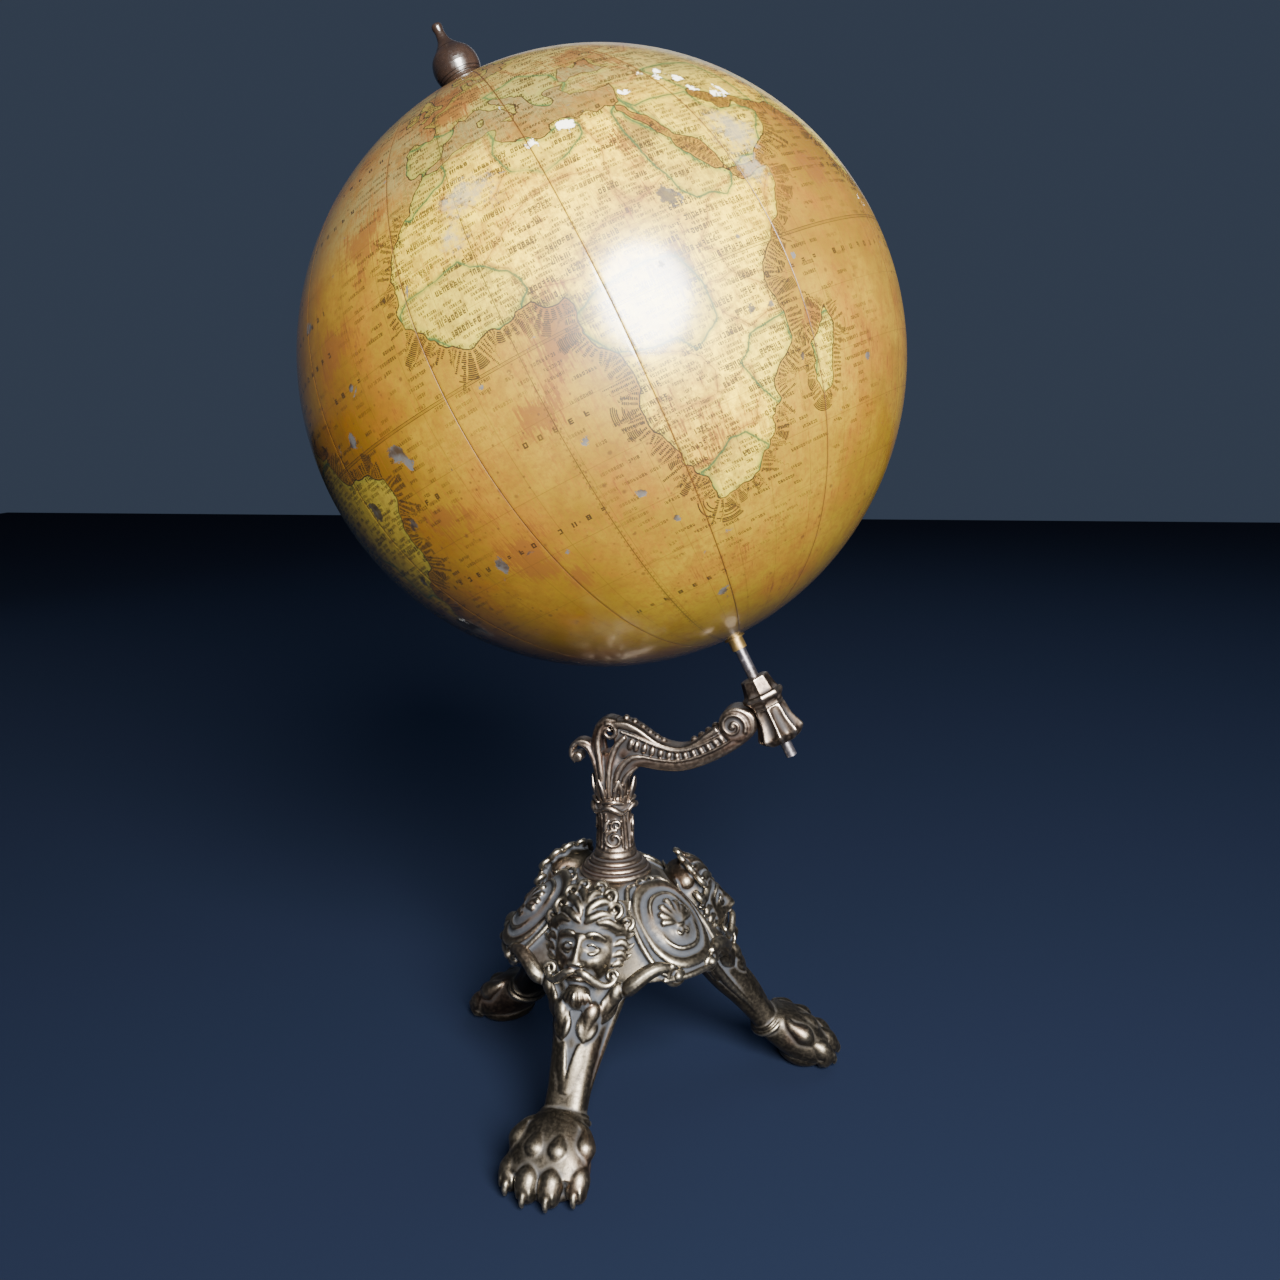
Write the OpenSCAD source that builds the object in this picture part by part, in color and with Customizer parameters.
// Desk globe, 12 inch, turning on an inclined axis above a cast tripod stand.
// Millimetres. The origin is on the table under the globe's centre, which is
// also the post's axis. +Z is up, and +X runs along the arm.

/* [Globe] */
// Radius of the finished globe, over the varnished map
globe_r = 152.4; // [125:0.1:184]
// Lean of the axis from the vertical, in degrees
axis_tilt = 26; // [20:0.5:32]
// Thickness of the papier-mache and plaster shell
shell_t = 3; // [2:0.1:6]
// Thickness of the printed paper and its varnish
paper_t = 0.4; // [0.3:0.05:0.8]
// Number of gores that the map is cut into
gore_count = 12; // [6:2:18]
// Gap of the butt joint between two gores
gore_gap = 0.1; // [0.05:0.05:0.3]
// Turn of the first joint about the axis, in degrees
gore_turn = 20; // [0:1:30]
// Radius of the round paper that covers each pole
calotte_r = 22; // [17:1:30]
// Radius of the wooden plug in each pole
plug_r = 14; // [11:0.5:16]
// Depth of a pole plug inside the shell
plug_depth = 7; // [4:0.5:12]
// Radius of the wooden pillar between the plugs
pillar_r = 9; // [7:0.5:10]
// Half the height of the strip that joins the two halves inside
band_half_h = 12; // [6:1:20]
// Thickness of that strip
band_t = 2; // [1:0.1:3]

/* [Axis] */
// Radius of the steel rod
rod_r = 2.9; // [2.4:0.1:3.5]
// Wall of the brass bush in each pole
bush_wall = 2; // [1.2:0.1:2.6]
// Height of a bush above the map
bush_rise = 0.8; // [0.4:0.1:1.5]
// Length of a bush
bush_l = 15; // [10:0.5:20]
// Running gap between a bush and the rod, on the radius
running_gap = 0.05; // [0.02:0.01:0.1]
// End play between the south bush and its washer
end_play = 0.1; // [0.05:0.05:0.3]
// Thickness of the thrust washer
thrust_washer_t = 0.8; // [0.5:0.1:1.5]
// Radius of the thrust collar on the rod
thrust_r = 4; // [3.8:0.1:5]
// Length of the thrust collar
thrust_l = 6; // [4:0.5:9]
// Free length of rod between the globe and the socket
rod_free = 24; // [19:0.5:30]
// Length of rod that stands out below the socket
rod_stub = 8.3; // [4:0.1:12]

/* [Finial] */
// Height of the turned finial
finial_h = 38; // [31:0.5:46]
// Radius of its bulb
bulb_r = 12; // [10:0.5:14.5]
// Depth of the rod's end in the finial
finial_bore_l = 13; // [8:0.5:16]
// Gap between the finial and the north bush
finial_gap = 0.3; // [0.2:0.1:1]

/* [Socket] */
// Corner radius of the socket at its lower rim
socket_rim_r = 12.6; // [11:0.1:15]
// Corner radius of the socket at its neck
socket_neck_r = 9; // [7.5:0.1:10]
// Height of the socket's fluted body
socket_body_h = 21; // [17:0.5:25]
// Height of the stepped cap
socket_cap_h = 17; // [14:0.5:21]
// Corner radius of the cap's lower edge
cap_edge_r = 12.2; // [10.5:0.1:14.5]

/* [Arm] */
// Width of the arm across its bead channels
arm_w = 13; // [10.5:0.5:16]
// Depth of the arm from its upper to its lower edge
arm_depth = 16.5; // [13:0.5:20]
// Height of the hump above the top of the post
hump_rise = 43; // [36:0.5:51]
// Height of the arm's lowest underside above the top of the post
dip_rise = 15; // [12:0.5:18]
// Radius of the scroll at the arm's end
scroll_r = 9.5; // [8:0.5:11.5]
// Gap between the arm's hump and the globe
globe_gap = 31.5; // [25:0.5:45]

/* [Post] */
// Radius of the post
post_r = 9.8; // [8.5:0.1:11.8]
// Height of the lower, ornamented post
post_h = 31.5; // [26:0.5:38]
// Number of flutes around the post
flute_count = 12; // [8:1:16]
// Radius of the stepped collar under the post
collar_r = 19.8; // [16.5:0.1:23.8]
// Height of the collar
collar_h = 14; // [11:0.5:17]
// Radius of the threaded tie rod inside the post
tie_r = 3; // [2.5:0.1:3.6]
// Length of thread in the foot of the arm
tie_grip = 18; // [14:0.5:22]

/* [Tripod] */
// Height of the bell's rim above the table
rim_z = 88; // [73:0.5:106]
// Radius of the bell at its rim
rim_r = 62.5; // [54:0.5:75]
// Height of the bell from its rim to the collar's seat
bell_h = 38.5; // [33:0.5:46]
// Wall of the cast bell
bell_wall = 2.6; // [2:0.1:3.5]
// Thickness of the bell's top
bell_top_t = 4; // [3:0.5:6]
// Direction of the front leg, in degrees from +X
front_leg_angle = -93.4; // [-120:0.1:-60]
// Distance from the post's axis to the tip of a paw
foot_reach = 133; // [111:0.5:160]
// Length of a paw from its tip back to the ankle
paw_l = 49; // [41:0.5:58]
// Width of a paw
paw_w = 46; // [38:0.5:55]
// Height of a paw at the cuff
paw_h = 31; // [26:0.5:37]
// Width of the leg at the ankle
ankle_w = 22; // [18:0.5:26]
// Thickness of the leg at the ankle
ankle_t = 16; // [13:0.5:19]
// Radius of the mask over each leg
mask_r = 21; // [17.5:0.5:24]
// Number of toes on a paw
toe_count = 4; // [4:1:5]
// Radius of a toe
toe_r = 5.8; // [4.8:0.1:6.5]

/* [Fastenings] */
// Radius of a leg screw's shank
screw_r = 2; // [1.6:0.1:2.4]
// Radius of a leg screw's head
screw_head_r = 3.6; // [3:0.1:4.3]
// Height of a leg screw's head
screw_head_h = 2.6; // [2:0.1:3.2]
// Radius of the boss behind a leg screw
boss_r = 5.5; // [4.6:0.1:6.5]
// Radius of the washer on the tie rod
washer_r = 11; // [9:0.5:13]
// Thickness of that washer
washer_t = 2; // [1.5:0.1:3]
// Height of the nut on the tie rod
nut_h = 6; // [5:0.5:7.5]
// Fitting gap between parts that are put together and stay put
fit_gap = 0.05; // [0.02:0.01:0.1]

/* [Hidden] */

$fn = 64;
sphere_fn = 96;
eps = 0.01;

// Heights, from the table up
bell_top_z = rim_z + bell_h;
collar_top_z = bell_top_z + collar_h;
post_top_z = collar_top_z + post_h;
hump_z = post_top_z + hump_rise;
globe_z = hump_z + globe_gap + globe_r;

// Distances along the axis, from the globe's centre
shell_r = globe_r - paper_t - fit_gap;
shell_in_r = shell_r - shell_t;
plug_in = shell_in_r - plug_depth;
bush_r = rod_r + running_gap + bush_wall;
bush_end = globe_r + bush_rise;
washer_top = bush_end + end_play;
thrust_top = washer_top + thrust_washer_t;
cap_top = globe_r + rod_free;
socket_top = cap_top + socket_cap_h;
socket_end = socket_top + socket_body_h;
rod_end = socket_end + rod_stub;
finial_base = bush_end + finial_gap;

// The scroll at the arm's end lies against the socket's neck
scroll_along = socket_top + 2;
scroll_aside = socket_neck_r + scroll_r - 0.4;
scroll_x = scroll_along * sin(axis_tilt) - scroll_aside * cos(axis_tilt);
scroll_z = globe_z - scroll_along * cos(axis_tilt) - scroll_aside * sin(axis_tilt);

// Places on the tripod
leg_angles = [front_leg_angle, front_leg_angle + 120, front_leg_angle + 240];
ankle_r = foot_reach - paw_l;
knee_r = (rim_r + ankle_r) / 2 + 3.5;
knee_z = rim_z * 0.73;
mask_axis_r = rim_r + 0.5 - mask_r;
screw_z = bell_top_z - 18.5;
boss_in_r = 36;
screw_end_r = rim_r - 4.5;
leg_root_r = rim_r - 17;
nut_z = bell_top_z - bell_top_t - washer_t - nut_h;

// A point on a smooth curve between p1 and p2
function curve_point(p0, p1, p2, p3, t) =
    0.5 * (2 * p1 + (p2 - p0) * t + (2 * p0 - 5 * p1 + 4 * p2 - p3) * t * t
           + (3 * p1 - p0 - 3 * p2 + p3) * t * t * t);

// An open smooth curve through the points p, with n steps between each two
function smooth_open(p, n = 4) =
    let (last = len(p) - 1)
    concat([for (i = [0 : last - 1]) for (k = [0 : n - 1])
                curve_point(p[max(i - 1, 0)], p[i], p[i + 1], p[min(i + 2, last)], k / n)],
           [p[last]]);

// A closed smooth curve through the points p
function smooth_closed(p, n = 4) =
    let (m = len(p))
    [for (i = [0 : m - 1]) for (k = [0 : n - 1])
        curve_point(p[(i + m - 1) % m], p[i], p[(i + 1) % m], p[(i + 2) % m], k / n)];

// The mirror image of an outline, in reverse order, so that both halves make one polygon
function mirrored(p) = [for (i = [len(p) - 1 : -1 : 0]) [-p[i][0], p[i][1]]];

// The globe's own frame: +Z towards its north pole
module on_axis() { translate([0, 0, globe_z]) rotate([0, -axis_tilt, 0]) children(); }

// A tube on the current Z axis, from z0 to z1
module tube(outer, inner, z0, z1) {
    translate([0, 0, z0]) difference() {
        cylinder(r = outer, h = z1 - z0);
        translate([0, 0, -eps]) cylinder(r = inner, h = z1 - z0 + 2 * eps);
    }
}

// A ball shell between two radii
module ball_shell(outer, inner) {
    difference() {
        sphere(r = outer, $fn = sphere_fn);
        sphere(r = inner, $fn = sphere_fn);
    }
}

// ---- Tripod ----

bell_curve = smooth_open([[collar_r + 0.7, bell_top_z], [collar_r + 6, bell_top_z - 2.2],
                          [rim_r * 0.58, bell_top_z - bell_h * 0.25],
                          [rim_r * 0.74, bell_top_z - bell_h * 0.48],
                          [rim_r * 0.88, bell_top_z - bell_h * 0.71],
                          [rim_r * 0.98, bell_top_z - bell_h * 0.9], [rim_r, rim_z]], 3);

// The bell as if it were solid, which every leg fits against
module bell_outside() {
    rotate_extrude() polygon(concat([[0, rim_z], [0, bell_top_z]], bell_curve));
}

module bell_inside() {
    roof = bell_top_z - bell_top_t;
    inner = [for (p = bell_curve) [p[0] - bell_wall, min(p[1] - bell_wall, roof)]];
    rotate_extrude() polygon(concat([[0, rim_z - bell_wall], [0, roof]], inner));
}

// The raised oval frame on the bell between two legs
module cartouche() {
    slope = 48;
    oval = [for (a = [0 : 12 : 348]) [21 * cos(a), 15.5 * sin(a)]];
    field = [for (a = [0 : 12 : 348]) [16 * cos(a), 11 * sin(a)]];
    translate([rim_r * 0.735, 0, bell_top_z - bell_h * 0.47]) rotate([0, slope, 0]) difference() {
        translate([0, 0, -3]) linear_extrude(height = 5.5) polygon(oval);
        translate([0, 0, 1]) linear_extrude(height = 3) polygon(field);
    }
}

module tripod_body() {
    color("#8a7350") difference() {
        union() {
            difference() {
                bell_outside();
                bell_inside();
            }
            for (a = leg_angles) rotate([0, 0, a]) intersection() {
                translate([boss_in_r, 0, screw_z]) rotate([0, 90, 0]) cylinder(r = boss_r, h = 20);
                bell_outside();
            }
            for (a = leg_angles) rotate([0, 0, a + 60]) difference() {
                cartouche();
                bell_inside();
            }
        }
        translate([0, 0, bell_top_z - 10]) cylinder(r = tie_r + fit_gap, h = 20);
        for (a = leg_angles) rotate([0, 0, a]) translate([0, 0, screw_z]) rotate([0, 90, 0])
            cylinder(r = screw_r + fit_gap, h = rim_r);
    }
}

// Side view of a leg, with x the distance from the post's axis
module leg_side() {
    front = smooth_open([[rim_r - 4, rim_z + 6], [rim_r + 1.5, rim_z - 8],
                         [rim_r + 8.5, rim_z - 14.5], [knee_r, knee_z],
                         [knee_r + (ankle_r - knee_r) * 0.45, (knee_z + paw_h) / 2],
                         [ankle_r + ankle_t * 0.42, paw_h + 2], [ankle_r + paw_l * 0.38, paw_h + 0.5],
                         [ankle_r + paw_l * 0.58, paw_h - 5], [ankle_r + paw_l * 0.74, paw_h * 0.55],
                         [ankle_r + paw_l * 0.88, paw_h * 0.28], [foot_reach - 3, 3.5],
                         [foot_reach - 4, 0]]);
    back = smooth_open([[foot_reach - paw_l * 0.68, 0], [ankle_r + 6, paw_h * 0.25],
                        [ankle_r - ankle_t * 0.45, paw_h * 0.8],
                        [knee_r - 16, (knee_z + paw_h) / 2],
                        [rim_r - 10, rim_z * 0.64], [rim_r - 16.5, rim_z * 0.76],
                        [rim_r - 18, rim_z]]);
    polygon(concat(front, back, [[rim_r - 18, rim_z + 6]]));
}

// Front view of a leg, with x sideways
module leg_front_view() {
    half = smooth_open([[paw_w / 2 - 2, 0], [paw_w / 2, paw_h * 0.25], [paw_w * 0.46, paw_h * 0.6],
                        [ankle_w * 0.68, paw_h * 0.92], [ankle_w / 2, paw_h + 3],
                        [ankle_w * 0.56, paw_h + 13], [ankle_w * 0.66, knee_z - 4],
                        [mask_r * 0.86, rim_z - 13], [mask_r, rim_z - 4], [mask_r, rim_z + 6]]);
    polygon(concat(half, mirrored(half)));
}

// The mask and its hair, as a rounded boss over the leg
module mask_boss() {
    top = bell_top_z - 3;
    half = smooth_open([[mask_r * 0.55, rim_z - 12], [mask_r * 0.85, rim_z - 7],
                        [mask_r * 0.98, rim_z + 2], [mask_r, rim_z + 13],
                        [mask_r * 0.96, top - 13], [mask_r * 0.78, top - 6],
                        [mask_r * 0.4, top - 1]]);
    translate([mask_axis_r, 0, 0]) rotate_extrude()
        polygon(concat([[0, rim_z - 12]], half, [[0, top]]));
}

// A toe: a long round drop from its knuckle to its tip
module toe() {
    back = [ankle_r + paw_l * 0.52, paw_h * 0.74];
    front = [foot_reach - toe_r, toe_r + 0.6];
    reach = front - back;
    l = norm(reach);
    translate([back[0], 0, back[1]]) rotate([0, atan2(reach[0], reach[1]), 0])
        rotate_extrude($fn = 32) polygon([[0, -toe_r], [toe_r * 0.75, -toe_r * 0.7], [toe_r, 0],
                                          [toe_r * 0.86, l * 0.5], [toe_r, l * 0.8],
                                          [toe_r * 0.8, l + toe_r * 0.55], [0, l + toe_r * 0.9]]);
}

module leg(angle) {
    color("#8f7a55") difference() {
        rotate([0, 0, angle]) union() {
            intersection() {
                rotate([90, 0, 0]) linear_extrude(height = 2 * paw_w, center = true) leg_side();
                rotate([90, 0, 90]) linear_extrude(height = foot_reach + 1) leg_front_view();
            }
            mask_boss();
            for (i = [0 : toe_count - 1])
                translate([0, (i / (toe_count - 1) - 0.5) * (paw_w - 2 * toe_r), 0]) toe();
        }
        bell_outside();
        cylinder(r = leg_root_r, h = rim_z + eps);
        rotate([0, 0, angle]) translate([0, 0, screw_z]) rotate([0, 90, 0])
            cylinder(r = screw_r + fit_gap, h = screw_end_r + 0.5);
    }
}

module leg_front() { leg(leg_angles[0]); }
module leg_right() { leg(leg_angles[1]); }
module leg_back() { leg(leg_angles[2]); }

// One screw from inside the bell into the back of each mask
module leg_screws() {
    color("#6f6a60") for (a = leg_angles) rotate([0, 0, a]) translate([0, 0, screw_z])
        rotate([0, 90, 0]) {
            translate([0, 0, boss_in_r - screw_head_h])
                cylinder(r = screw_head_r, h = screw_head_h);
            translate([0, 0, boss_in_r - 1]) cylinder(r = screw_r, h = screw_end_r - boss_in_r + 1);
        }
}

// ---- Post and arm ----

// One turned ring of the collar: a cylinder with a half-round edge
module turned_ring(r, z, h) {
    translate([0, 0, z]) rotate_extrude() {
        square([r - h / 2, h]);
        translate([r - h / 2, h / 2]) circle(r = h / 2, $fn = 32);
    }
}

module base_collar() {
    step_h = collar_h / 4;
    color("#7d6a50") difference() {
        for (i = [0 : 3])
            turned_ring(collar_r - i * (collar_r - post_r - 1.5) / 3, bell_top_z + i * step_h, step_h);
        translate([0, 0, bell_top_z - 1]) cylinder(r = tie_r + fit_gap, h = collar_h + 2);
    }
}

module post() {
    leaf_ring_h = 5;
    color("#86714f") difference() {
        union() {
            translate([0, 0, collar_top_z]) difference() {
                cylinder(r = post_r, h = post_h);
                for (i = [0 : flute_count - 1]) rotate([0, 0, i * 360 / flute_count])
                    translate([post_r + 1, 0, 3]) cylinder(r = 1.8, h = post_h, $fn = 24);
            }
            turned_ring(post_r + 1, collar_top_z, 3);
            turned_ring(post_r + 1.2, post_top_z - leaf_ring_h, leaf_ring_h);
        }
        translate([0, 0, collar_top_z - 1]) cylinder(r = tie_r + fit_gap, h = post_h + 2);
    }
}

// Side view of the arm, from its hump over the dip to the scroll
module arm_side() {
    dip_x = scroll_x * 0.54;
    dip_z = post_top_z + dip_rise;
    upper = [[-9.5, post_top_z + 24], [-8.5, hump_z - 9], [-3.5, hump_z - 0.6], [3.5, hump_z],
             [10, hump_z - 1.2], [scroll_x * 0.24, hump_z - 7],
             [scroll_x * 0.38, dip_z + arm_depth + 1.5], [dip_x, dip_z + arm_depth],
             [scroll_x * 0.7, dip_z + arm_depth + 3], [scroll_x - scroll_r * 0.9, scroll_z + 2],
             [scroll_x + 2, scroll_z + scroll_r * 0.7]];
    lower = [[scroll_x + scroll_r * 0.85, scroll_z - scroll_r * 0.55],
             [scroll_x * 0.86, dip_z + 7.5], [scroll_x * 0.7, dip_z + 2.4], [dip_x, dip_z],
             [scroll_x * 0.37, dip_z + 0.4], [scroll_x * 0.22, dip_z + 2],
             [post_r - 0.8, post_top_z + 10], [post_r - 2.5, post_top_z + 4],
             [-post_r + 3, post_top_z + 4], [-post_r + 0.5, post_top_z + 12]];
    polygon(smooth_closed(concat(upper, lower)));
}

// Side view of the leaf that curls out behind the hump
module leaf_side() {
    z = post_top_z;
    polygon(smooth_closed([[-8, z + 5], [-12.5, z + 11], [-13.2, z + 17], [-15.5, z + 16],
                           [-18.5, z + 15.6], [-21.8, z + 17], [-23.4, z + 20.5], [-22.2, z + 25],
                           [-18.6, z + 27.4], [-13.5, z + 26.5], [-9.5, z + 23], [-6, z + 14]]));
}

module arm() {
    color("#7a6446") difference() {
        union() {
            rotate([90, 0, 0]) linear_extrude(height = arm_w, center = true) arm_side();
            rotate([90, 0, 0]) linear_extrude(height = arm_w - 2, center = true) leaf_side();
            translate([scroll_x, 0, scroll_z]) rotate([90, 0, 0])
                cylinder(r = scroll_r, h = arm_w + 2, center = true);
            rotate_extrude() polygon([[0, post_top_z], [post_r, post_top_z],
                                      [post_r - 0.8, post_top_z + 8], [post_r - 2, post_top_z + 18],
                                      [post_r - 4.5, post_top_z + 24], [0, post_top_z + 25]]);
        }
        translate([0, 0, post_top_z - 1]) cylinder(r = tie_r + fit_gap, h = tie_grip + 2);
        on_axis() {
            socket_outline();
            cap_outline();
        }
    }
}

// ---- Socket ----

// Eight-sided outline of the socket's body, wide at its lower rim
module socket_outline() {
    z = -socket_top;
    rotate([0, 0, 22.5]) rotate_extrude($fn = 8)
        polygon([[0, z], [socket_neck_r, z], [socket_neck_r, z - socket_body_h * 0.2],
                 [socket_neck_r + 0.8, z - socket_body_h * 0.45],
                 [socket_rim_r, z - socket_body_h * 0.68], [socket_rim_r, z - socket_body_h * 0.8],
                 [socket_rim_r - 5.5, z - socket_body_h], [0, z - socket_body_h]]);
}

module socket_body() {
    color("#7a6446") on_axis() difference() {
        socket_outline();
        translate([0, 0, -socket_end - 1]) cylinder(r = rod_r + fit_gap, h = socket_body_h + 2);
    }
}

// Eight-sided outline of the two-step cap
module cap_outline() {
    z = -socket_top;
    h = socket_cap_h;
    rotate([0, 0, 22.5]) rotate_extrude($fn = 8)
        polygon([[0, z], [cap_edge_r - 2.5, z], [cap_edge_r, z + h * 0.16],
                 [cap_edge_r - 2, z + h * 0.5], [cap_edge_r - 3.2, z + h * 0.54],
                 [cap_edge_r - 5.2, z + h], [0, z + h]]);
}

// The cap that closes the socket around the rod
module socket_cap() {
    color("#8a7350") on_axis() difference() {
        cap_outline();
        translate([0, 0, -socket_top - 1]) cylinder(r = rod_r + fit_gap, h = socket_cap_h + 2);
    }
}

// ---- Tie rod through the post ----

module tie_rod() {
    color("#6f6a60") translate([0, 0, nut_z - 2])
        cylinder(r = tie_r, h = post_top_z + tie_grip - nut_z + 2);
}

module tie_washer() {
    color("#6f6a60") tube(washer_r, tie_r + fit_gap, nut_z + nut_h, nut_z + nut_h + washer_t);
}

module tie_nut() {
    color("#6f6a60") translate([0, 0, nut_z]) difference() {
        cylinder(r = tie_r * 2.2, h = nut_h, $fn = 6);
        translate([0, 0, -1]) cylinder(r = tie_r + fit_gap, h = nut_h + 2);
    }
}

// ---- Axis ----

module axis_rod() {
    color("#5a4a42") on_axis() translate([0, 0, -rod_end])
        cylinder(r = rod_r, h = rod_end + finial_base + finial_bore_l - 0.5);
}

module thrust_collar() {
    color("#5a4a42") on_axis() tube(thrust_r, rod_r + fit_gap, -thrust_top - thrust_l, -thrust_top);
}

module thrust_washer() {
    color("#a08040") on_axis() tube(bush_r + 0.6, rod_r + fit_gap, -thrust_top, -washer_top);
}

module finial() {
    h = finial_h;
    outline = smooth_open([[bulb_r * 0.42, 0], [bulb_r * 0.5, h * 0.03], [bulb_r * 0.42, h * 0.06],
                           [bulb_r * 0.72, h * 0.14], [bulb_r * 0.95, h * 0.26],
                           [bulb_r, h * 0.4], [bulb_r * 0.86, h * 0.54], [bulb_r * 0.52, h * 0.65],
                           [bulb_r * 0.28, h * 0.75], [bulb_r * 0.2, h * 0.87],
                           [bulb_r * 0.23, h * 0.94], [bulb_r * 0.19, h * 0.985], [0.4, h]], 3);
    color("#3a2418") on_axis() translate([0, 0, finial_base]) difference() {
        rotate_extrude() polygon(concat([[0, 0]], outline, [[0, h]]));
        translate([0, 0, -1]) cylinder(r = rod_r + fit_gap, h = finial_bore_l + 1);
    }
}

// ---- Globe ----

// One half of the shell, side = 1 for the north and -1 for the south
module half_shell(side) {
    span = 2 * globe_r;
    on_axis() difference() {
        ball_shell(shell_r, shell_in_r);
        translate([-span / 2, -span / 2, side > 0 ? -span : 0]) cube(span);
        cylinder(r = plug_r + fit_gap, h = span, center = true);
    }
}

module north_shell() { color("#cbb892") half_shell(1); }
module south_shell() { color("#cbb892") half_shell(-1); }

module equator_band() {
    outer = shell_in_r - fit_gap;
    color("#b59a6a") on_axis() intersection() {
        ball_shell(outer, outer - band_t);
        cube([2 * globe_r, 2 * globe_r, 2 * band_half_h], center = true);
    }
}

module centre_pillar() {
    color("#b08a55") on_axis() tube(pillar_r, rod_r + 1.2, -plug_in, plug_in);
}

// A pole plug: flat inside, and as round as the shell outside
module pole_plug(side) {
    on_axis() difference() {
        intersection() {
            mirror([0, 0, side > 0 ? 0 : 1]) translate([0, 0, plug_in])
                cylinder(r = plug_r, h = plug_depth + 2 * shell_t + 2);
            sphere(r = shell_r, $fn = sphere_fn);
        }
        cylinder(r = bush_r + fit_gap, h = 3 * globe_r, center = true);
    }
}

module north_plug() { color("#9a7442") pole_plug(1); }
module south_plug() { color("#9a7442") pole_plug(-1); }

module pole_bush(side) {
    on_axis() mirror([0, 0, side > 0 ? 0 : 1])
        tube(bush_r, rod_r + running_gap, max(plug_in + 0.5, bush_end - bush_l), bush_end);
}

module north_bush() { color("#b58d3d") pole_bush(1); }
module south_bush() { color("#b58d3d") pole_bush(-1); }

// The printed gores, butted edge to edge from pole to pole
module map_gores() {
    color("#c89b3c") on_axis() difference() {
        ball_shell(globe_r, globe_r - paper_t);
        cylinder(r = calotte_r, h = 3 * globe_r, center = true);
        for (i = [0 : gore_count / 2 - 1]) rotate([0, 0, gore_turn + i * 360 / gore_count])
            cube([3 * globe_r, gore_gap, 3 * globe_r], center = true);
    }
}

// The round papers over the ends of the gores
module polar_calottes() {
    color("#b98e3c") on_axis() difference() {
        intersection() {
            ball_shell(globe_r, globe_r - paper_t);
            cylinder(r = calotte_r - gore_gap, h = 3 * globe_r, center = true);
        }
        cylinder(r = bush_r + fit_gap, h = 3 * globe_r, center = true);
    }
}

tripod_body();
leg_front();
leg_right();
leg_back();
leg_screws();
base_collar();
post();
arm();
socket_body();
socket_cap();
tie_rod();
tie_washer();
tie_nut();
axis_rod();
thrust_collar();
thrust_washer();
finial();
north_shell();
south_shell();
equator_band();
centre_pillar();
north_plug();
south_plug();
north_bush();
south_bush();
map_gores();
polar_calottes();
